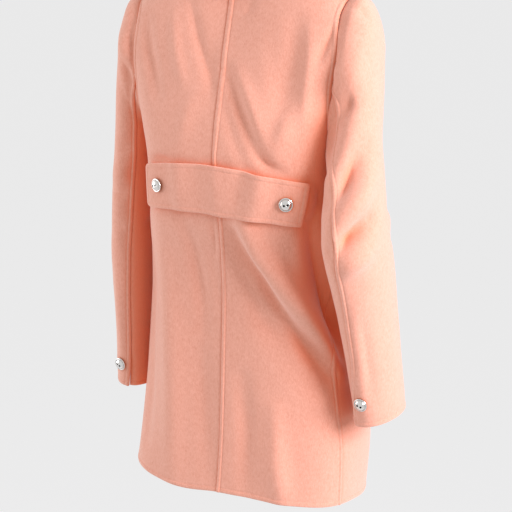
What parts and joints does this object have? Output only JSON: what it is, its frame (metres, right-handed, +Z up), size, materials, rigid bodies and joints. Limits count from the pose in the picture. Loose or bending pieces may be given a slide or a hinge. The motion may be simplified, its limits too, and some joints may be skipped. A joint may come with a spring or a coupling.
{
  "type": "pea coat",
  "caption": "Flared double-breasted coat in thick felted wool, hollow as worn, with turn-down collar, set-in sleeves, buttoned cuffs and a buttoned half belt across the back.",
  "frame": {"origin": "on the axis of the neck, level with the nape seam, where the wearer's shoulders carry the coat", "axes": "+Z up; the wearer faces -Y, so the back is at +Y and the wearer's left at +X"},
  "size_m": [0.4813, 0.2546, 0.7914],
  "materials": {
    "wool": "matt felted double-faced wool",
    "button_metal": "polished"
  },
  "bodies": {
    "root": {"back_left": "wool", "back_right": "wool", "front_left": "wool", "front_right": "wool", "collar": "wool", "half_belt": "wool", "upper_sleeve_left": "wool", "under_sleeve_left": "wool", "upper_sleeve_right": "wool", "under_sleeve_right": "wool", "belt_button_left": "button_metal", "belt_button_right": "button_metal", "cuff_button_left": "button_metal", "cuff_button_right": "button_metal", "front_button_left_1": "button_metal", "front_button_left_2": "button_metal", "front_button_left_3": "button_metal", "front_button_right_1": "button_metal", "front_button_right_2": "button_metal", "front_button_right_3": "button_metal"}
  },
  "joints": []
}
